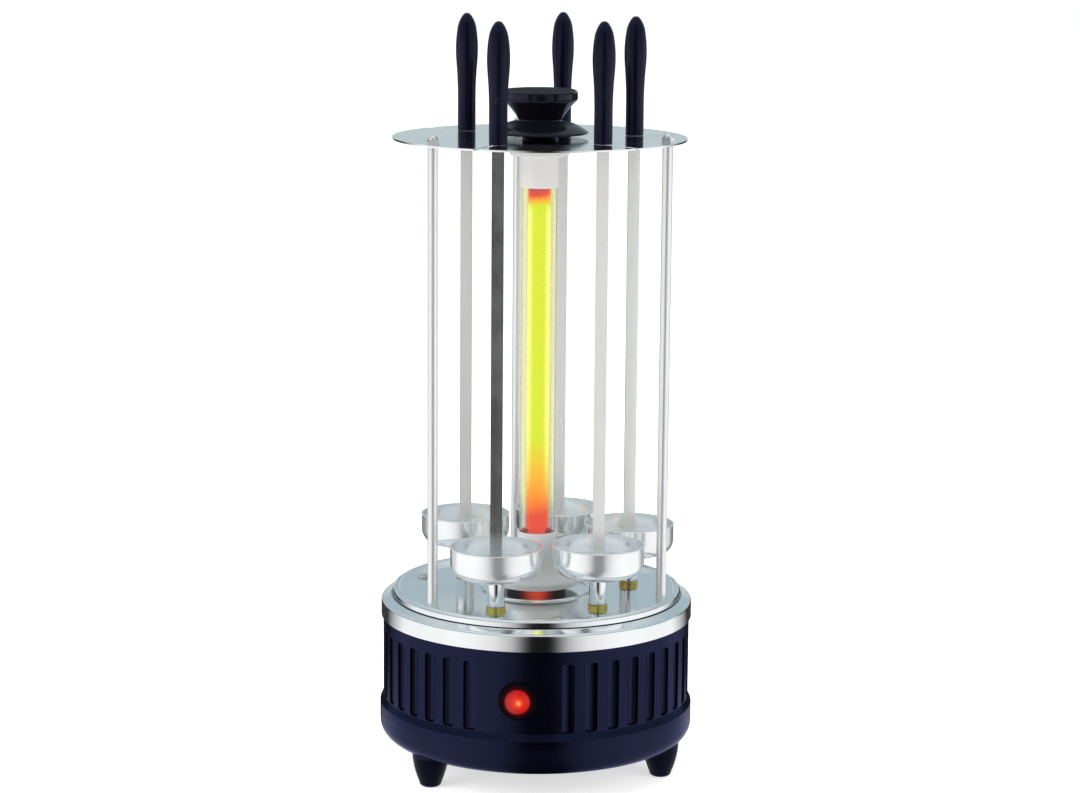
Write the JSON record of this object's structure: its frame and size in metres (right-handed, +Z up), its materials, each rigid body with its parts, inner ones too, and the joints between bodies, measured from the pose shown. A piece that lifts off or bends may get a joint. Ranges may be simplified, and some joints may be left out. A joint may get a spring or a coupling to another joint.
{
  "type": "electric skewer grill",
  "caption": "Upright electric grill: geared skewers turn round a vertical quartz heater on a fluted round base, with drip cups, a round top plate and a waisted knob.",
  "frame": {"origin": "on the ground under the heater's axis", "axes": "+Z up along the heater, -Y out of the button, +X to the right seen from the button side"},
  "size_m": [0.2136, 0.2192, 0.5109],
  "materials": {
    "enamel_navy": "gloss enamel, near black navy",
    "pan_navy": "gloss enamel",
    "polished_steel": "mirror polished",
    "steel": "plain",
    "blade_steel": "satin",
    "zinc": "zinc plated",
    "black_plastic": "gloss",
    "foot_plastic": "satin",
    "red_plastic": "translucent red, lit",
    "switch_plastic": "gloss",
    "gland_plastic": "satin",
    "brass": "machined",
    "gear_plastic": "moulded",
    "white_ceramic": "unglazed",
    "cream_ceramic": "unglazed steatite",
    "core_ceramic": "unglazed",
    "quartz": "clear",
    "hot_wire": "glowing resistance wire",
    "motor_steel": "plated can"
  },
  "bodies": {
    "base": {"base_pan": "pan_navy", "body_shell": "enamel_navy", "trim_ring": "polished_steel", "drip_plate": "polished_steel", "gear_plate": "steel", "deck_pillars": "steel", "deck_screws": "zinc", "foot_1": "foot_plastic", "foot_2": "foot_plastic", "foot_3": "foot_plastic", "foot_screws": "zinc", "rod_1": "polished_steel", "rod_2": "polished_steel", "rod_3": "polished_steel", "rod_cap_nuts": "polished_steel", "rod_lower_nuts": "zinc", "top_plate": "polished_steel", "carry_knob": "black_plastic", "knob_screw": "zinc", "upper_ceramic_cap": "white_ceramic", "quartz_tube": "quartz", "heater_core": "core_ceramic", "heater_coil": "hot_wire", "lower_ceramic_holder": "white_ceramic", "ceramic_bell": "cream_ceramic", "spindle_bushes": "brass", "motor_case": "motor_steel", "motor_screws": "zinc", "central_hub": "steel", "switch_body": "switch_plastic", "cord_gland": "gland_plastic", "button_spring": "steel"},
    "button": {"button_cap": "red_plastic"},
    "gear": {"central_gear": "gear_plastic"},
    "motor": {"motor_pinion": "gear_plastic"},
    "station_1": {"spindle_1": "polished_steel", "pinion_1": "gear_plastic", "cup_1": "polished_steel"},
    "skewer_body_1": {"skewer_1": "blade_steel", "handle_1": "black_plastic"},
    "station_2": {"spindle_2": "polished_steel", "pinion_2": "gear_plastic", "cup_2": "polished_steel"},
    "skewer_body_2": {"skewer_2": "blade_steel", "handle_2": "black_plastic"},
    "station_3": {"spindle_3": "polished_steel", "pinion_3": "gear_plastic", "cup_3": "polished_steel"},
    "skewer_body_3": {"skewer_3": "blade_steel", "handle_3": "black_plastic"},
    "station_4": {"spindle_4": "polished_steel", "pinion_4": "gear_plastic", "cup_4": "polished_steel"},
    "skewer_body_4": {"skewer_4": "blade_steel", "handle_4": "black_plastic"},
    "station_5": {"spindle_5": "polished_steel", "pinion_5": "gear_plastic", "cup_5": "polished_steel"},
    "skewer_body_5": {"skewer_5": "blade_steel", "handle_5": "black_plastic"}
  },
  "joints": [
    {"name": "button_press", "type": "slide", "parent": "base", "child": "button", "axis": [0, 1, 0], "range_m": [0, 0.0025], "stiffness_N_per_m": 400, "springref_m": -0.002, "deforming": ["button_spring"]},
    {"name": "gear_spin", "type": "hinge", "parent": "base", "child": "gear", "pos_m": [0, 0, 0.093], "axis": [0, 0, 1], "continuous": true},
    {"name": "motor_spin", "type": "hinge", "parent": "base", "child": "motor", "pos_m": [-0.05666, -0.01973, 0.093], "axis": [0, 0, 1], "continuous": true},
    {"name": "spindle_spin_1", "type": "hinge", "parent": "base", "child": "station_1", "pos_m": [-0.02009, -0.06182, 0.093], "axis": [0, 0, 1], "continuous": true},
    {"name": "skewer_lift_1", "type": "slide", "parent": "station_1", "child": "skewer_body_1", "axis": [0, 0, 1], "range_m": [0, 0.025]},
    {"name": "spindle_spin_2", "type": "hinge", "parent": "base", "child": "station_2", "pos_m": [0.04644, -0.04548, 0.093], "axis": [0, 0, 1], "continuous": true},
    {"name": "skewer_lift_2", "type": "slide", "parent": "station_2", "child": "skewer_body_2", "axis": [0, 0, 1], "range_m": [0, 0.025]},
    {"name": "spindle_spin_3", "type": "hinge", "parent": "base", "child": "station_3", "pos_m": [0.06138, 0.02138, 0.093], "axis": [0, 0, 1], "continuous": true},
    {"name": "skewer_lift_3", "type": "slide", "parent": "station_3", "child": "skewer_body_3", "axis": [0, 0, 1], "range_m": [0, 0.025]},
    {"name": "spindle_spin_4", "type": "hinge", "parent": "base", "child": "station_4", "pos_m": [0.00815, 0.06449, 0.093], "axis": [0, 0, 1], "continuous": true},
    {"name": "skewer_lift_4", "type": "slide", "parent": "station_4", "child": "skewer_body_4", "axis": [0, 0, 1], "range_m": [0, 0.025]},
    {"name": "spindle_spin_5", "type": "hinge", "parent": "base", "child": "station_5", "pos_m": [-0.05414, 0.03597, 0.093], "axis": [0, 0, 1], "continuous": true},
    {"name": "skewer_lift_5", "type": "slide", "parent": "station_5", "child": "skewer_body_5", "axis": [0, 0, 1], "range_m": [0, 0.025]}
  ],
  "couplings": [
    {"joint": "motor_spin", "follows": "gear_spin", "ratio": -3},
    {"joint": "spindle_spin_1", "follows": "gear_spin", "ratio": -2.25},
    {"joint": "spindle_spin_2", "follows": "gear_spin", "ratio": -2.25},
    {"joint": "spindle_spin_3", "follows": "gear_spin", "ratio": -2.25},
    {"joint": "spindle_spin_4", "follows": "gear_spin", "ratio": -2.25},
    {"joint": "spindle_spin_5", "follows": "gear_spin", "ratio": -2.25}
  ]
}
